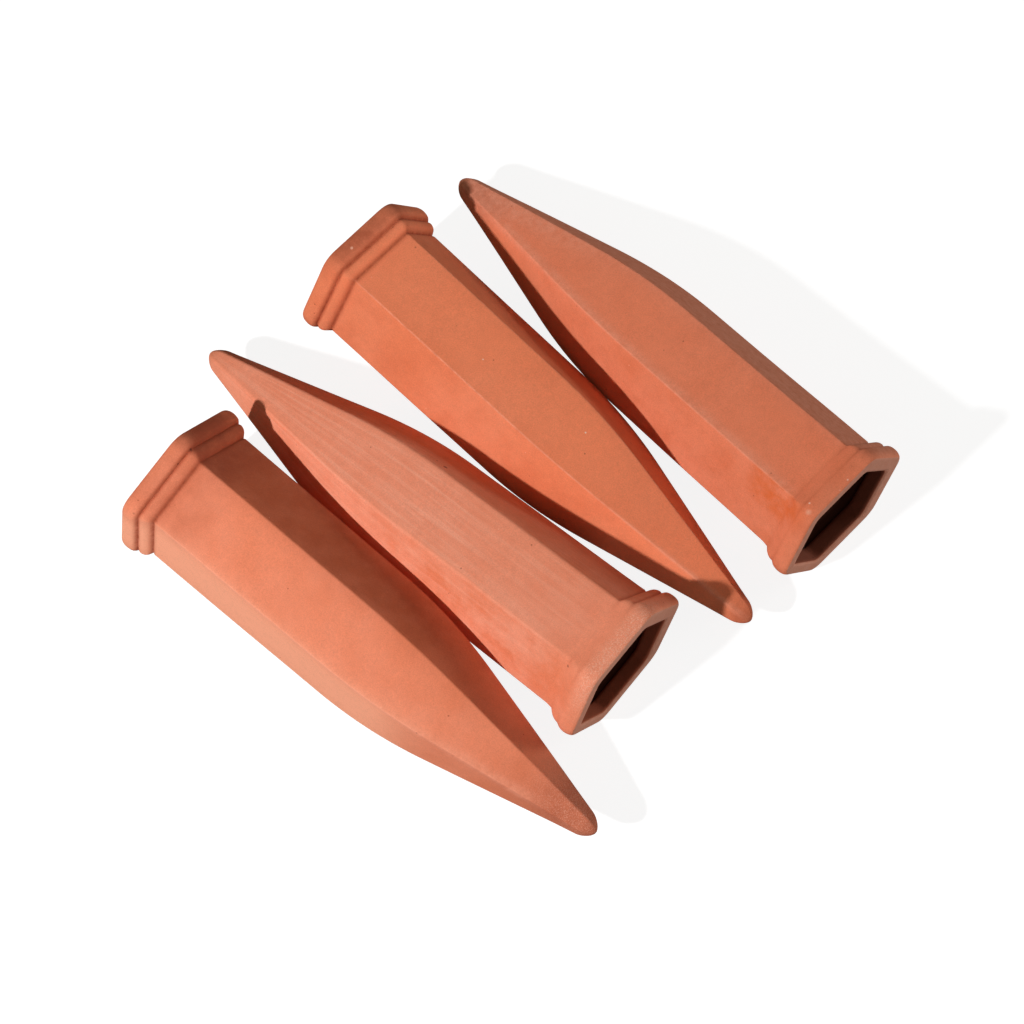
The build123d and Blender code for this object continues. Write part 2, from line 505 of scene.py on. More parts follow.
class Graph:
    """The nodes of a material or of the world, added one at a time."""

    def __init__(self, owner: bpy.types.Material | bpy.types.World) -> None:
        """Clears the nodes that a new material or world comes with.

        Args:
            owner: The material or world.
        """
        owner.use_nodes = True
        self.tree = owner.node_tree
        self.tree.nodes.clear()

    def node(self, kind: str, inputs: dict[str | int, Input], output: str | int = 0,
             **settings: str) -> Socket:
        """Adds a node.

        Args:
            kind: What Blender calls it, after ShaderNode.
            inputs: What its sockets take, each an output to link or a plain value.
            output: The output that is wanted.
            **settings: Its own settings.

        Returns:
            That output.
        """
        node = self.tree.nodes.new("ShaderNode" + kind)
        for name, setting in settings.items():
            setattr(node, name, setting)
        for name, value in inputs.items():
            socket = node.inputs[name]
            if isinstance(value, Socket):
                self.tree.links.new(value, socket)
            else:
                socket.default_value = (*value, 1) if socket.type == "RGBA" else value
        return node.outputs[output]

    def surface(self, kind: str, shader: Socket) -> None:
        """Leads a shader to the output of a material or of the world."""
        output = self.tree.nodes.new("ShaderNode" + kind)
        self.tree.links.new(shader, output.inputs["Surface"])

    def layer(self, layer: Layer) -> Socket:
        """A layer that the mesh carries, from 0 to 1."""
        return self.node("Attribute", {}, "Fac", attribute_name=layer.value)

    def carried(self, kind: Pattern) -> Socket:
        """A place that the mesh carries, in metres, across twice and then along."""
        return self.node("Attribute", {}, "Vector", attribute_name=kind.value)

    def place(self, shift: Triple, scale: Triple = (1, 1, 1),
              kind: Pattern = Pattern.OWN) -> Socket:
        """Where a pattern is read: a carried place times a scale, plus a shift."""
        inputs = {"Vector": self.carried(kind), "Location": shift, "Scale": scale}
        return self.node("Mapping", inputs)

    def noise(self, where: Socket, size: float, detail: float = 2, rough: float = 0.5) -> Socket:
        """Cloudy noise of about 0 to 1, with a size in metres and finer octaves."""
        inputs = {"Vector": where, "Scale": 1 / size, "Detail": detail, "Roughness": rough}
        return self.node("TexNoise", inputs, "Fac")

    def dots(self, where: Socket, spacing: float) -> Socket:
        """Distance to the nearest of many scattered points, as a share of their spacing."""
        return self.node("TexVoronoi", {"Vector": where, "Scale": 1 / spacing}, "Distance")

    def spot(self, centre: Vector, reach: float, wobble: Socket, heart: float = 0.55) -> Socket:
        """A soft round spot.

        Args:
            centre: Its centre in the spike's own frame.
            reach: Its radius.
            wobble: Noise that makes its edge uneven.
            heart: The share of its radius within which it is whole.

        Returns:
            1 in the middle and 0 outside.
        """
        ends = {0: self.carried(Pattern.OWN), 1: centre}
        far = self.node("VectorMath", ends, "Value", operation="DISTANCE")
        uneven = self.span(wobble, 0, 1, -reach / 2, reach / 2)
        return self.span(self.add(far, uneven), reach, reach * heart)

    def span(self, value: Socket, low: float, high: float, least: float = 0,
             most: float = 1) -> Socket:
        """Maps low to least, high to most and the numbers between them evenly, clamped outside."""
        ends = {"From Min": low, "From Max": high, "To Min": least, "To Max": most}
        return self.node("MapRange", {"Value": value, **ends}, "Result")

    def broken(self, layer: Layer, noise: Socket, low: float, high: float, least: float = 0,
               most: float = 1) -> Socket:
        """A layer broken up by a noise: the layer times the noise's span."""
        return self.times(self.layer(layer), self.span(noise, low, high, least, most))

    def add(self, first: Input, second: Input) -> Socket:
        """The sum of two numbers."""
        return self.node("Math", {0: first, 1: second}, operation="ADD")

    def times(self, first: Input, second: Input) -> Socket:
        """The product of two numbers."""
        return self.node("Math", {0: first, 1: second}, operation="MULTIPLY")

    def less(self, first: Input, second: Input) -> Socket:
        """The first number less the second."""
        return self.node("Math", {0: first, 1: second}, operation="SUBTRACT")

    def mix(self, share: Input, first: Input, second: Input) -> Socket:
        """Mixes two colours: the first where the share is 0, the second where it is 1."""
        inputs = {"Factor": share, "A": first, "B": second}
        return self.node("Mix", inputs, "Result", data_type="RGBA")

    def shade(self, colour: Socket, value: Socket) -> Socket:
        """Makes a colour lighter or darker: the colour times a number."""
        return self.node("VectorMath", {0: colour, "Scale": value}, operation="SCALE")

    def camera_sees(self, seen: Socket, plain: Socket) -> Socket:
        """Shows the camera one shader, and every other ray a plain one."""
        share = self.node("LightPath", {}, "Is Camera Ray")
        return self.node("MixShader", {0: share, 1: plain, 2: seen})


@dataclass(frozen=True)
class Patterns:
    """The patterns that a clay's colour, roughness and bump share."""

    clouds: Socket
    patches: Socket
    mottle: Socket
    grain: Socket
    streaks: Socket
    streaked: Socket
    sandy: Socket
    specks: Socket
    holes: Socket


@dataclass(frozen=True)
class Terracotta:
    """Unglazed fired clay, with the colours of one spike as a screen shows them, 0 to 255."""

    name: str
    clay: Colour
    pale: Colour
    deep: Colour
    # Painted light: the paler tone for tops and faces turned to the key lamp
    paled: Colour
    # Paler worn ridges, and painted bounce light on a shaded face
    rubbed: Colour = (240, 160, 132)
    streak: Colour = (250, 182, 156)
    # Redder clay at lips, tips and pits, and painted shade on a shaded collar
    reddened: Colour = (158, 74, 50)
    # Painted shade: the browner tone of a face turned away from the key lamp, also on a tip
    browned: Colour = (176, 82, 46)
    stained: Colour = (222, 104, 50)
    sand: Colour = (244, 184, 158)
    # The land's paler tone, also the painted highlight on the mouth's inner edge
    land: Colour = (222, 160, 138)
    # Painted shade: the darker tone of the cavity
    inside: Colour = (188, 102, 72)
    # Painted shade: the still darker tone from the mouth's end on
    deep_inside_shade: Colour = (96, 52, 38)
    # Painted shade: the darker tone in the tooled creases
    crease: Colour = (172, 80, 50)
    streaks: float = 0.0
    mottling: float = 0.5
    shift: float = 0.0
    cloud_size: float = 34 * MM
    patch_size: float = 9 * MM
    mottle_size: float = 2.4 * MM
    grain_size: float = 0.42 * MM
    grit_size: float = 0.34 * MM
    ground_size: float = 1.2 * MM
    streak_size: float = 1.7 * MM
    streak_stretch: float = 0.03
    speck_spacing: float = 5.5 * MM
    speck_strength: float = 0.75
    hole_spacing: float = 7.5 * MM
    hole_strength: float = 0.6
    grain_contrast: float = 0.13
    mottle_contrast: float = 0.035
    smoothest: float = 0.82
    roughest: float = 0.97
    gloss: float = 0.28
    grain_relief: float = 0.6
    mottle_relief: float = 0.45
    sand_relief: float = 0.5
    streak_relief: float = 0.7
    hole_relief: float = 1.2
    relief_depth: float = 0.12 * MM
    relief_strength: float = 0.55

    def patterns(self, g: Graph) -> Patterns:
        """Makes the patterns: noises from clouds down to grain, long streaks and scattered dots.

        Args:
            g: The material's nodes.

        Returns:
            The patterns.
        """
        shift = (self.shift, self.shift, self.shift)
        where = g.place(shift)
        lengthwise = g.place(shift, (1, 1, self.streak_stretch), Pattern.EVEN)
        ground = g.noise(where, self.ground_size)
        dots = g.span(g.dots(where, self.speck_spacing), 0.04, 0.02)
        apart = g.dots(g.place((self.shift + 1, 0, 0)), self.hole_spacing)
        grit = g.noise(where, self.grit_size, 2, 0.6)
        return Patterns(
            clouds=g.noise(where, self.cloud_size),
            patches=g.noise(where, self.patch_size, 4, 0.62),
            mottle=g.noise(where, self.mottle_size, 4, 0.65),
            grain=g.noise(where, self.grain_size, 3, 0.7),
            streaks=g.noise(lengthwise, self.streak_size, 4, 0.62),
            streaked=g.times(g.layer(Layer.STREAKED), self.streaks),
            sandy=g.broken(Layer.SANDY, grit, 0.5, 0.62),
            specks=g.times(dots, g.span(ground, 0.5, 0.58)),
            holes=g.span(apart, 0.045, 0.025),
        )

    def tones(self, g: Graph, p: Patterns) -> tuple[tuple[Socket, Colour], ...]:
        """The tones that go over the clay, from the lowest to the uppermost.

        Args:
            g: The material's nodes.
            p: The patterns.

        Returns:
            How much each tone covers, from 0 to 1, and the tone.
        """
        return (
            (g.span(p.clouds, 0.36, 0.66, 0, 0.8), self.pale),
            (g.span(p.patches, 0.42, 0.72, 0, self.mottling), self.deep),
            # Painted light: tops and faces turned to the key lamp made paler
            (g.layer(Layer.PALED), self.paled),
            (g.times(g.span(p.streaks, 0.48, 0.66), p.streaked), self.streak),
            (g.times(g.span(p.streaks, 0.48, 0.34, 0, 0.4), p.streaked), self.deep),
            # Painted shade in the tooled creases, less where they are filled
            (g.broken(Layer.CREASE, p.mottle, 0.3, 0.7, 0.55), self.crease),
            (g.broken(Layer.STAINED, p.patches, 0.36, 0.62), self.stained),
            # Painted shade on a face turned away from the key lamp, and a browner tip
            (g.broken(Layer.BROWNED, p.patches, 0.3, 0.6, 0.8), self.browned),
            # Redder clay at lips and tips, and painted shade on a shaded collar
            (g.broken(Layer.REDDENED, p.patches, 0.3, 0.6, 0.45), self.reddened),
            # Paler rim land, with a painted highlight over the mouth's rounded inner edge
            (g.broken(Layer.LAND, p.mottle, 0.3, 0.7, 0.6, 0.95), self.land),
            (p.sandy, self.sand),
            # Painted shade inside the cavity, darker still from the mouth's end on
            (g.layer(Layer.INSIDE), self.inside),
            (g.layer(Layer.DEEP), self.deep_inside_shade),
            # Paler worn ridges, and painted bounce light on a shaded face
            (g.broken(Layer.RUBBED, p.mottle, 0.3, 0.62, 0.25), self.rubbed),
            (g.times(p.specks, self.speck_strength), self.sand),
            # The scattered pits take the same darker red
            (g.times(p.holes, self.hole_strength), self.reddened),
        )

    def material(self, spots: tuple[tuple[Vector, Fleck], ...]) -> bpy.types.Material:
        """Makes the material.

        The clay takes each tone and fleck in turn, and is then multiplied by 1 + grain + mottle.
        The bump's height is grain + mottle + sand + streaks - holes - pits.

        Args:
            spots: The flecks, each with its centre in the spike's own frame.

        Returns:
            The material.
        """
        material = bpy.data.materials.new(self.name)
        g = Graph(material)
        p = self.patterns(g)
        colour: Input = linear(self.clay)
        for share, tone in self.tones(g, p):
            colour = g.mix(share, colour, linear(tone))
        pits: Input = 0.0
        for centre, spot in spots:
            share = g.spot(centre, spot.reach * MM, p.patches)
            colour = g.mix(g.times(share, spot.strength), colour, linear(spot.colour))
            pits = g.add(pits, g.times(share, spot.depth))
        grain = g.span(p.grain, 0.25, 0.75, -self.grain_contrast, self.grain_contrast)
        mottle = g.span(p.mottle, 0.3, 0.7, -self.mottle_contrast, self.mottle_contrast)
        height = g.add(g.span(p.grain, 0.2, 0.8, 0, self.grain_relief),
                       g.span(p.mottle, 0.2, 0.8, 0, self.mottle_relief))
        height = g.add(height, g.times(p.sandy, self.sand_relief))
        height = g.add(height, g.times(g.times(p.streaked, p.streaks), self.streak_relief))
        height = g.less(g.less(height, g.times(p.holes, self.hole_relief)), pits)
        bump = {"Distance": self.relief_depth, "Strength": self.relief_strength}
        g.surface("OutputMaterial", g.node("BsdfPrincipled", {
            "Base Color": g.shade(colour, g.add(g.add(grain, mottle), 1.0)),
            "Roughness": g.span(p.mottle, 0.25, 0.75, self.smoothest, self.roughest),
            "Specular IOR Level": self.gloss,
            "Normal": g.node("Bump", {"Height": height, **bump}),
        }))
        return material


def with_poles(grid: Array) -> Array:
    """Flattens a grid of values and adds the means of its first and last rings for the poles."""
    flat = grid.reshape(-1, grid.shape[-1])
    return np.concatenate((flat, grid[0].mean(axis=0)[None], grid[-1].mean(axis=0)[None]))


def carry(mesh: bpy.types.Mesh, name: str, grid: Array) -> None:
    """Lays a grid of values on a mesh's vertices as an attribute.

    Args:
        mesh: A closed skin.
        name: The attribute's name.
        grid: Rings by points by 1 for numbers, or by 3 for places.
    """
    values = with_poles(grid).astype(np.float32)
    kind, key = ("FLOAT", "value") if grid.shape[-1] == 1 else ("FLOAT_VECTOR", "vector")
    mesh.attributes.new(name, kind, "POINT").data.foreach_set(key, values.ravel())


def closed_skin(name: str, grid: Array, poles: Array) -> bpy.types.Mesh:
    """Makes a closed mesh from a grid that runs round, with a fan at each end.

    Faces join neighbouring rings as quads, and the last point of a ring to its first.

    Args:
        name: The mesh's name.
        grid: Rings by points by 3.
        poles: The two end points.

    Returns:
        The mesh, smooth shaded, with its faces outwards.
    """
    count, around = grid.shape[:2]
    points = np.concatenate((grid.reshape(-1, 3), poles))
    index = np.arange(count * around).reshape(count, around)
    after = np.roll(index, -1, axis=1)
    quads = np.stack((index[:-1], index[1:], after[1:], after[:-1]), -1).reshape(-1, 4)
    first = np.stack((np.full(around, count * around), index[0], after[0]), -1)
    last = np.stack((index[-1], np.full(around, count * around + 1), after[-1]), -1)
    mesh = bpy.data.meshes.new(name)
    mesh.from_pydata(points, [], quads.tolist() + first.tolist() + last.tolist())
    mesh.polygons.foreach_set("use_smooth", np.ones(len(mesh.polygons), bool))
    mesh.update()
    return mesh


@dataclass
class WateringSpike:
    """One hollow spike as it lies in the row, with its own small faults.

    Angles are in degrees: its turn from the row's direction, how far it leans over and how far
    its mouth is cut askew. Its own frame is across twice and then along.
    """

    name: str
    slot: str
    heading: Heading
    turn: float
    lean: float
    mouth_tilt: float
    finish: Terracotta
    seed: int
    marks: tuple[Mark, ...] = ()
    fills: tuple[Fill, ...] = ()
    flecks: tuple[Fleck, ...] = ()
    ridge_corner: float = 0.9 * MM
    upper_side: tuple[float, float] = (-0.3, -0.1)
    waviness: float = 0.16 * MM
    wave_counts: tuple[int, ...] = (1, 2, 3, 4, 6)
    wave_lengths: tuple[float, float] = (45 * MM, 110 * MM)
    rim_waves: float = 0.3
    calm_tip_radii: float = 4.0
    tilt_depth: float = 7.0 * MM
    mouth_shift: float = 0.0
    mouth_shift_look: float = 180.0
    faint_streaks: float = 0.25
    streak_run: float = 15.0 * MM
    land_depth: float = 0.05 * MM
    shape: SpikeShape = field(default_factory=SpikeShape)
    outline: Outline = field(default_factory=Outline.made)

    @cached_property
    def outer_rings(self) -> Rings:
        """The rings of the outside: tip, body and collar."""
        return joined(self.shape.tip(), self.shape.body(), self.shape.collar())

    @cached_property
    def rings(self) -> Rings:
        """All rings in order, from the outer pole to the inner one."""
        return joined(self.outer_rings, self.shape.rim(), self.shape.cavity())

    @cached_property
    def outside(self) -> Array:
        """1 for the rings of the outside, and 0 for those of the rim and the cavity."""
        return (np.arange(len(self.rings.place)) < len(self.outer_rings.place)).astype(float)

    @cached_property
    def looks(self) -> Array:
        """The look of each point round a ring."""
        return self.mirrored(self.outline.degrees)

    def mirrored(self, look: float | Array) -> float | Array:
        """Turns looks into directions in the spike's own frame, or such directions into looks."""
        return look if self.heading is Heading.RIGHT else 180 - look

    def grid(self, radius: Array, corner: Array) -> Array:
        """The surface in the spike's own frame.

        A point is (flat - rounding) / cos(30 degrees) * sharp + rounding * outward across the
        axis, and its ring's place along it, where flat is the distance to the ring's sides.

        Args:
            radius, corner: The corner radius and the ridges' rounding, as rings by points.

        Returns:
            The points, as rings by points by 3.
        """
        flat = radius * FLAT_SHARE
        rounding = np.minimum(corner, flat * self.shape.roundest_share)[..., None]
        centre = (flat[..., None] - rounding) / FLAT_SHARE
        across = centre * self.outline.sharp + rounding * self.outline.outward
        along = np.broadcast_to(self.rings.place[:, None, None], (*across.shape[:2], 1))
        return np.concatenate((across, along), axis=-1)

    def plain(self, radius: Array) -> Array:
        """The surface with the same corner radius and rounding all round each ring."""
        return self.grid(self.outline.all_round(radius), self.outline.all_round(self.rings.corner))

    def crisp_corner(self) -> Array:
        """Roundings with this spike's crisper ridges on its upper side.

        Returns:
            The plain roundings, less a difference that fades out over the bead and comes in
            where the look's sine enters the upper side.
        """
        size = self.shape
        plain = self.outline.all_round(self.rings.corner)
        behind = np.clip((size.bead_corner - plain) / (size.bead_corner - size.body_corner), 0, 1)
        upper = smooth_step(np.sin(np.radians(self.looks)), *self.upper_side)
        difference = size.body_corner - self.ridge_corner
        return plain - difference * behind * upper * self.outside[:, None]

    def fill_share(self) -> Array:
        """How far the creases are filled in each look.

        Returns:
            The highest of strength * exp(-(off / breadth)^4) among the fills, or nothing.
        """
        bells = [fill.strength * np.exp(-((off_look(self.looks, fill.look) / fill.breadth) ** 4))
                 for fill in self.fills]
        return np.max([np.zeros(len(self.looks)), *bells], axis=0)

    def filled_radius(self) -> Array:
        """Corner radii with the collar's creases filled towards some looks.

        Returns:
            The plain radii, or between lip's crest and body the smeared ones, as far as filled.
        """
        size, place = self.shape, self.rings.place
        plain = self.outline.all_round(self.rings.radius)
        smeared = size.smeared_radius(place)[:, None]
        behind = (place > size.lip_crest) & (place < size.smear_end)
        return plain + (smeared - plain) * self.fill_share() * (self.outside * behind)[:, None]

    def waves(self) -> Array:
        """Inward waves of a hand-finished wall.

        Returns:
            A sum of cosines, each with a whole number of waves round, by which it is divided,
            and its own wavelength along, scaled to lie between nothing and the waviness.
        """
        rng = np.random.default_rng(self.seed)
        total = np.zeros((len(self.rings.place), len(self.outline.degrees)))
        for around in self.wave_counts:
            phase = rng.uniform(0, 2 * math.pi, 2)
            length = rng.uniform(*self.wave_lengths)
            along = np.cos(2 * math.pi * self.rings.place[:, None] / length + phase[1])
            total += np.cos(around * np.radians(self.outline.degrees) + phase[0]) * along / around
        return self.waviness * (total - total.min()) / (total.max() - total.min())

    def worn(self) -> Array:
        """The surface in its own frame, with its filled creases, waves and tilted mouth.

        Returns:
            The grid. Waves move the outside against its outward direction, and the mouth's tilt
            moves each point along the axis by its height times the tilt's tangent, less and
            less down to the tilt's depth.
        """
        size, place = self.shape, self.rings.place
        points = self.grid(self.filled_radius(), self.crisp_corner())
        collar = smooth_step(place, 0, size.collar_end) * (1 - self.rim_waves) + self.rim_waves
        tip = smooth_step(size.length - place, 0, self.calm_tip_radii * size.tip_radius)
        inward = self.waves() * (collar * tip * self.outside)[:, None]
        points[..., :2] -= self.outline.outward * inward[..., None]
        up = math.radians(self.lean * self.heading.value)
        height = points[..., 0] * math.sin(up) + points[..., 1] * math.cos(up)
        fade = np.clip(1 - place / self.tilt_depth, 0, 1)
        points[..., 2] += math.tan(math.radians(self.mouth_tilt)) * height * fade[:, None]
        points[..., :2] += self.mouth_offset()[:, None]
        return points

    def mouth_offset(self) -> Array:
        """How far each ring moves across, for a mouth that was cut a little off the middle.

        Returns:
            The moves. The rings of the land move more and more towards the mouth's edge, and
            those of the cavity less and less down to the recess's end.
        """
        size, rings = self.shape, self.rings
        to_mouth = size.land_radius - size.mouth_radius
        land = np.clip((size.land_radius - rings.radius) / to_mouth, 0, 1)
        deep = 1 - smooth_step(rings.place, size.mouth_length, size.recess_end)
        angle = math.radians(self.mirrored(self.mouth_shift_look))
        way = np.array((math.cos(angle), math.sin(angle)))
        return (land * deep * (1 - self.outside) * self.mouth_shift)[:, None] * way

    def laid(self, points: Array) -> Array:
        """Lays points of the spike's own frame on their side.

        Args:
            points: The points.

        Returns:
            The points about the spike's middle: leant over, let fall onto collar and shoulder,
            and turned to the spike's direction.
        """
        along = points[..., 2] - self.shape.length / 2
        centred = np.stack((along, points[..., 0], points[..., 1]), -1)
        heading = self.turn if self.heading is Heading.RIGHT else self.turn + 180
        leant = turned(Axis.X, self.lean * self.heading.value)
        turn = turned(Axis.Z, heading) @ turned(Axis.Y, self.shape.fall(self.lean)) @ leant
        return centred @ turn.T

    def place_in_row(self) -> Array:
        """Where the laid spike goes.

        Returns:
            The move that brings the middle of its plain surface's box to that of its solid's.
        """
        low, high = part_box(self.name)
        middle = (np.array(low) + np.array(high)) / 2
        flat = self.laid(self.plain(self.rings.radius)).reshape(-1, 3)
        return middle - (flat.min(axis=0) + flat.max(axis=0)) / 2

    def laid_poles(self, laid: Array) -> Array:
        """The two end points.

        Args:
            laid: The laid grid.

        Returns:
            The middles of the first and last rings, moved on to the very ends.
        """
        ends = np.stack((laid[0].mean(axis=0), laid[-1].mean(axis=0)))
        axis = self.laid(np.array(((0, 0, 1.0), (0, 0, 0))))
        outer = self.shape.length - self.rings.place[0]
        inner = self.shape.length - self.shape.tip_wall - self.rings.place[-1]
        return ends + np.array((outer, inner))[:, None] * (axis[0] - axis[1])

    def fleck_centre(self, spot: Fleck) -> Vector:
        """Where a fleck lies on the plain surface.

        Args:
            spot: The fleck.

        Returns:
            Its centre, as far from the axis as the sharp six-sided outline is in its look.
        """
        size = self.shape
        place = spot.place * MM
        rings = size.collar() if place < size.collar_end else size.body()
        order = np.argsort(rings.place)
        radius = float(np.interp(place, rings.place[order], rings.radius[order]))
        degrees = self.mirrored(spot.look)
        off = math.radians(degrees % SIDE_DEGREES) - HALF_SIDE
        out = radius * FLAT_SHARE / math.cos(off)
        angle = math.radians(degrees)
        return Vector((out * math.cos(angle), out * math.sin(angle), place))

    def marked(self, patch: Mark) -> Array:
        """How strongly a mark shows.

        Args:
            patch: The mark.

        Returns:
            Its strength, as rings by points: a window along the spike with soft ends, times a
            bell across it, exp(-(angle off the look * radius / breadth)^4).
        """
        place, soft = self.rings.place, patch.softness * MM
        start, end = patch.start * MM, patch.end * MM
        window = smooth_step(place, start - soft, start + soft)
        window = window * (1 - smooth_step(place, end - soft, end + soft))
        off = np.radians(off_look(self.looks, patch.look))
        bell = np.exp(-((off[None, :] * self.rings.radius[:, None] / (patch.breadth * MM)) ** 4))
        return patch.strength * bell * (window * self.outside)[:, None]

    def layers(self) -> dict[Layer, Array]:
        """Every layer over the grid.

        Returns:
            The layers. A mark is in its own, where the strongest shows. The land, with a painted
            highlight, the painted shade inside and in creases, and faint streaks follow the rings.
        """
        size, place, outside = self.shape, self.rings.place, self.outside
        made = {layer: np.zeros((len(place), len(self.looks))) for layer in Layer}
        for patch in self.marks:
            made[patch.layer] = np.maximum(made[patch.layer], self.marked(patch))
        # The land's tone also covers the first half of the mouth's rounded inner edge: a painted
        # highlight line.
        edge = smooth_step(place, size.mouth_softening / 2, size.mouth_softening)
        cavity = edge * (1 - outside)
        land = np.maximum(1 - outside - cavity, place < self.land_depth)
        deep = smooth_step(place, size.mouth_length, size.mouth_length + size.recess_slope)
        near = size.grooves(place) / size.groove_depth * outside
        calm = smooth_step(place, size.collar_end, size.collar_end + self.streak_run)
        faint = self.faint_streaks * (calm * outside)[:, None]
        made[Layer.LAND][:] = land[:, None]
        # Painted shade: the cavity darker, and darker still from the mouth's end on
        made[Layer.INSIDE][:] = cavity[:, None]
        made[Layer.DEEP][:] = (deep * (1 - outside))[:, None]
        # Painted shade in the tooled creases, less where they are filled
        made[Layer.CREASE][:] = near[:, None] * (1 - self.fill_share())
        made[Layer.STREAKED][:] = np.maximum(made[Layer.STREAKED], faint)
        return made

    def dress(self, mesh: bpy.types.Mesh, points: Array) -> None:
        """Gives the skin its layers, its places for patterns and its clay.

        Args:
            mesh: The skin.
            points: The worn surface in the spike's own frame.
        """
        for layer, values in self.layers().items():
            carry(mesh, layer.value, values[..., None])
        carry(mesh, Pattern.OWN.value, points)
        even = np.full_like(self.rings.place, self.shape.body_radius)
        carry(mesh, Pattern.EVEN.value, self.plain(even))
        spots = tuple((self.fleck_centre(spot), spot) for spot in self.flecks)
        mesh.materials.append(self.finish.material(spots))

    def build(self) -> bpy.types.Object:
        """Makes the spike's skin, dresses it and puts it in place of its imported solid.

        Returns:
            The new object, riding on its body.
        """
        points = self.worn()
        laid = self.laid(points) + self.place_in_row()
        mesh = closed_skin(f"{self.name}_clay", laid, self.laid_poles(laid))
        self.dress(mesh, points)
        piece = bpy.data.objects.new(f"{self.name}_clay", mesh)
        bpy.context.scene.collection.objects.link(piece)
        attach(piece, self.name)
        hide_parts(self.name)
        log.info("%s: %d faces", piece.name, len(mesh.polygons))
        return piece


def direction(azimuth: float, elevation: float) -> Vector:
    """Unit vector from the row towards a point round it; azimuth 0 is the row's front."""
    a, e = math.radians(azimuth), math.radians(elevation)
    return Vector((math.sin(a) * math.cos(e), -math.cos(a) * math.cos(e), math.sin(e)))


@dataclass(frozen=True)
class Lamp:
    """A square lamp that faces the row, at an azimuth and elevation in degrees.

    Its distance and size are in metres, and its light, in watts a square metre, is what it gives
    a surface that faces it.
    """

    name: str
    azimuth: float
    elevation: float
    distance: float
    size: float
    light: float
    colour: Colour = (1.0, 1.0, 1.0)

    def build(self) -> bpy.types.Object:
        """Makes the lamp, with a power of light * pi * distance^2.

        Returns:
            The lamp.
        """
        data = bpy.data.lights.new(self.name, "AREA")
        data.size = self.size
        data.energy = self.light * math.pi * self.distance**2
        data.color = self.colour
        lamp = bpy.data.objects.new(self.name, data)
        towards = direction(self.azimuth, self.elevation)
        lamp.location = towards * self.distance
        lamp.rotation_euler = towards.to_track_quat("Z", "Y").to_euler()
        bpy.context.scene.collection.objects.link(lamp)
        return lamp


@dataclass
class Studio:
    """A white table, a hard key lamp, three softer ones low round the row, a dim surround and
    the camera, with angles in degrees."""

    aim: Vector = field(default_factory=lambda: Vector((6.9, 3.32, 0.0)) * MM)
    camera_azimuth: float = 42.4
    camera_elevation: float = 69.49
    camera_distance: float = 793.35 * MM
    camera_nearest: float = 10 * MM
    focal_pixels: float = 2350.5
    frame_pixels: int = 1024
    sensor: float = 36.0
    lamps: tuple[Lamp, ...] = (
        Lamp("key", -9, 44.2, 0.86, 0.033, 2.5),
        Lamp("back", 158, 10, 1.6, 0.5, 0.84, (1.0, 1.0, 0.96)),
        Lamp("right", 88, 5, 1.6, 0.2, 0.7, (1.0, 1.0, 0.96)),
        Lamp("left", -75, 25, 1.6, 1.0, 0.2, (1.0, 0.84, 0.5)),
    )
    sky: float = 0.105
    sky_colour: Colour = (1.0, 0.95, 0.84)
    table_half: float = 4.0
    table_tone: float = 0.12
    table_seen: float = 0.3
    table_glow: float = 0.87

    def camera(self) -> bpy.types.Object:
        """Sets the camera at the photograph's viewing angle, as fitted to the spikes' outlines.

        Returns:
            The camera.
        """
        lens = bpy.data.cameras.new("camera")
        lens.sensor_width = self.sensor
        lens.lens = self.focal_pixels / self.frame_pixels * self.sensor
        lens.clip_start = self.camera_nearest
        eye = bpy.data.objects.new("camera", lens)
        back = direction(self.camera_azimuth, self.camera_elevation)
        eye.location = self.aim + back * self.camera_distance
        eye.rotation_euler = back.to_track_quat("Z", "Y").to_euler()
        bpy.context.scene.collection.objects.link(eye)
        bpy.context.scene.camera = eye
        return eye

    def table(self) -> bpy.types.Object:
        """Makes the white table. The camera sees its diffuse light lifted by a steady white, so
        that it is white with a pale shadow, and the spikes see a dim plain surface.

        Returns:
            The table.
        """
        half = self.table_half
        mesh = bpy.data.meshes.new("table")
        corners = [(-half, -half, 0), (half, -half, 0), (half, half, 0), (-half, half, 0)]
        mesh.from_pydata(corners, [], [(0, 1, 2, 3)])
        table = bpy.data.objects.new("table", mesh)
        bpy.context.scene.collection.objects.link(table)
        material = bpy.data.materials.new("white_table")
        g = Graph(material)
        plain, seen = (g.node("BsdfDiffuse", {"Color": (tone, tone, tone)})
                       for tone in (self.table_tone, self.table_seen))
        glow = g.node("Emission", {"Strength": self.table_glow})
        lifted = g.node("AddShader", {0: seen, 1: glow})
        g.surface("OutputMaterial", g.camera_sees(lifted, plain))
        mesh.materials.append(material)
        return table

    def world(self) -> None:
        """Sets the dim surround, which the camera sees as plain white."""
        world = bpy.data.worlds.new("surround")
        g = Graph(world)
        dim = g.node("Background", {"Color": self.sky_colour, "Strength": self.sky})
        white = g.node("Background", {"Color": (1, 1, 1)})
        g.surface("OutputWorld", g.camera_sees(white, dim))
        bpy.context.scene.world = world

    def build(self) -> None:
        """Sets up the whole studio."""
        bpy.context.scene.view_settings.view_transform = "Standard"
        self.camera()
        for lamp in self.lamps:
            lamp.build()
        self.table()
        self.world()
        log.info("studio: camera, %d lamps, table and surround", len(self.lamps))


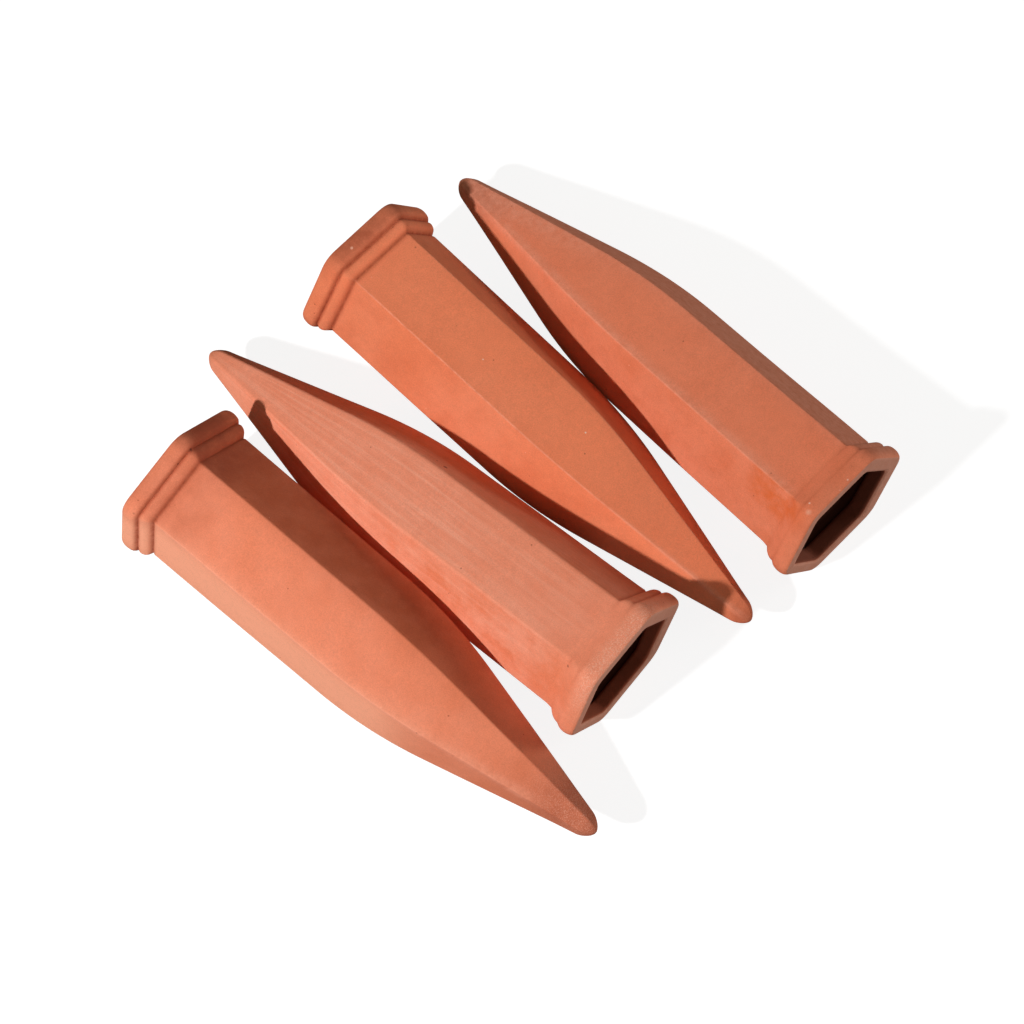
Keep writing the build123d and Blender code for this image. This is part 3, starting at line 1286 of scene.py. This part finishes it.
LIGHT_CLAY = Terracotta(
    "light_terracotta",
    clay=(231, 133, 98),
    pale=(235, 142, 110),
    deep=(223, 122, 85),
    # Painted light: the paler tone for tops and faces turned to the key lamp
    paled=(255, 172, 138),
    shift=0.11,
)
PINK_CLAY = Terracotta(
    "pink_terracotta",
    clay=(232, 138, 104),
    pale=(238, 152, 122),
    deep=(224, 121, 84),
    # Painted light: the paler tone for tops and faces turned to the key lamp
    paled=(255, 158, 126),
    # Painted shade: this clay's darker cavity
    inside=(182, 96, 68),
    streaks=0.9,
    shift=0.37,
)
ORANGE_CLAY = Terracotta(
    "orange_terracotta",
    clay=(231, 127, 87),
    pale=(234, 136, 99),
    deep=(216, 111, 73),
    # Painted light: the paler tone for tops and faces turned to the key lamp
    paled=(255, 143, 100),
    shift=0.59,
)
DEEP_CLAY = Terracotta(
    "deep_terracotta",
    clay=(229, 126, 89),
    pale=(232, 136, 102),
    deep=(213, 109, 71),
    # Painted light: the paler tone for tops and faces turned to the key lamp
    paled=(255, 143, 104),
    # Painted shade: this clay's darker cavity
    inside=(150, 80, 58),
    shift=0.83,
)
BARE_CLAY = (244, 190, 164)
PALE_GRIT = (250, 226, 206)
DIRT = (92, 44, 30)


def leaning_spike() -> WateringSpike:
    """The front spike, which leans over on one edge.

    Returns:
        The spike, of light clay, with its mouth to the left.
    """
    return WateringSpike(
        "spike_1", "clay_1", Heading.RIGHT, turn=2.0, lean=20.9, mouth_tilt=0.77,
        finish=LIGHT_CLAY, seed=11,
        marks=(
            # Painted shade: the face turned away from the key lamp made darker and browner, collar
            # to past the shoulder
            Mark(Layer.BROWNED, -60, 118, 30, 15, 0.74, 34),
            Mark(Layer.BROWNED, 150, 186, 90, 30, 0.5, 20),
            Mark(Layer.REDDENED, -20, 24, 92, 15, 0.28, 8),
            # Painted shade: the collar darker and redder on the face turned away from the key lamp
            Mark(Layer.REDDENED, -20, 20, 34, 15, 0.75, 9),
            Mark(Layer.RUBBED, 16, 160, 120, 3, 0.5),
            # Painted light: the front face, turned to the key lamp, made paler
            Mark(Layer.PALED, -20, 112, 152, 14, 0.95, 14),
            Mark(Layer.REDDENED, 164, 186, 60, 14, 0.6, 14),
            Mark(Layer.SANDY, 160, 186, 90, 40, 0.35, 14),
        ),
        flecks=(
            Fleck(6.4, 59, 0.7, DIRT, 0.7, 1.0),
            Fleck(5.1, 119, 0.8, DIRT, 0.6, 1.0),
            Fleck(6.2, 72, 0.5, DIRT, 0.6, 1.0),
        ),
    )


def streaky_spike() -> WateringSpike:
    """The second spike, with long pale streaks.

    Returns:
        The spike, of pink clay, with its mouth to the right.
    """
    return WateringSpike(
        "spike_2", "clay_2", Heading.LEFT, turn=2.8, lean=4.8, mouth_tilt=-1.13,
        finish=PINK_CLAY, seed=23,
        ridge_corner=1.6 * MM, mouth_shift=1.3 * MM, mouth_shift_look=200,
        marks=(
            Mark(Layer.STREAKED, 50, 160, 88, 14, 0.42, 20),
            Mark(Layer.STREAKED, 14, 60, 88, 14, 0.2, 10),
            # Painted light: the top face made paler
            Mark(Layer.PALED, 6, 172, 90, 13, 0.3),
            Mark(Layer.STAINED, 8, 90, 150, 11, 0.3, 12),
            Mark(Layer.SANDY, -20, 5, 96, 30, 0.8, 2),
            # Painted light: the lip's top made paler
            Mark(Layer.PALED, -20, 5, 80, 34, 0.25, 2),
        ),
        fills=(Fill(90, 34, 1.0), Fill(150, 34, 1.0), Fill(30, 28, 0.3)),
        flecks=(
            Fleck(84.3, 51.4, 0.9, DIRT, 0.6, 0.6),
            Fleck(10.6, 125, 0.7, DIRT, 0.7, 0.8),
            Fleck(88, 50, 0.6, DIRT, 0.4, 0.6),
        ),
    )


def orange_spike() -> WateringSpike:
    """The third spike, with worn ridges.

    Returns:
        The spike, of orange clay, with its mouth to the left.
    """
    return WateringSpike(
        "spike_3", "clay_3", Heading.RIGHT, turn=-1.6, lean=0.8, mouth_tilt=-1.09,
        finish=ORANGE_CLAY, seed=37,
        marks=(
            # Painted light: the top face made paler
            Mark(Layer.PALED, 8, 176, 90, 13, 0.55),
            Mark(Layer.RUBBED, 12, 176, 119, 1.5, 0.5),
            Mark(Layer.RUBBED, 20, 150, 60, 0.9, 0.55),
            Mark(Layer.REDDENED, -20, 5.5, 82, 20, 0.65, 2),
            Mark(Layer.REDDENED, 171, 186, 90, 30, 0.5, 5),
        ),
        flecks=(
            Fleck(3.2, 103, 0.6, BARE_CLAY, 0.7),
            Fleck(60, 96, 0.35, PALE_GRIT),
            Fleck(101, 80, 0.35, PALE_GRIT),
        ),
    )


def back_spike() -> WateringSpike:
    """The back spike, with a stain by its collar.

    Returns:
        The spike, of a deeper clay, with its mouth to the right.
    """
    return WateringSpike(
        "spike_4", "clay_4", Heading.LEFT, turn=-3.2, lean=5.0, mouth_tilt=1.8,
        finish=DEEP_CLAY, seed=53,
        mouth_shift=1.3 * MM, mouth_shift_look=165,
        marks=(
            # Painted light: the top face made paler
            Mark(Layer.PALED, 8, 176, 90, 13, 0.5),
            Mark(Layer.RUBBED, 12, 176, 117, 3, 0.5),
            Mark(Layer.RUBBED, 12, 170, 60, 1.2, 0.6),
            # Painted light: the back face, turned away from the key lamp, made paler and greyer,
            # standing in for bounce light
            Mark(Layer.RUBBED, 0, 180, 30, 14, 0.75),
            Mark(Layer.STAINED, 6, 26, 132, 7, 0.9, 5),
            Mark(Layer.REDDENED, 160, 186, 130, 18, 0.5, 8),
        ),
        fills=(Fill(90, 34, 0.88), Fill(150, 34, 0.92)),
        flecks=(
            Fleck(1.8, 83.5, 0.4, PALE_GRIT, 0.6),
            Fleck(1.1, 93, 0.45, PALE_GRIT, 0.6),
            Fleck(5.2, 114, 0.4, PALE_GRIT, 0.6),
            Fleck(3.4, 118.6, 1.5, BARE_CLAY, 0.4),
        ),
    )


def main() -> None:
    """Builds the studio and the row."""
    logging.basicConfig(level=logging.INFO, format="%(name)s: %(message)s")
    Studio().build()
    for spike in (leaning_spike(), streaky_spike(), orange_spike(), back_spike()):
        spike.build()


if __name__ == "__main__":
    main()
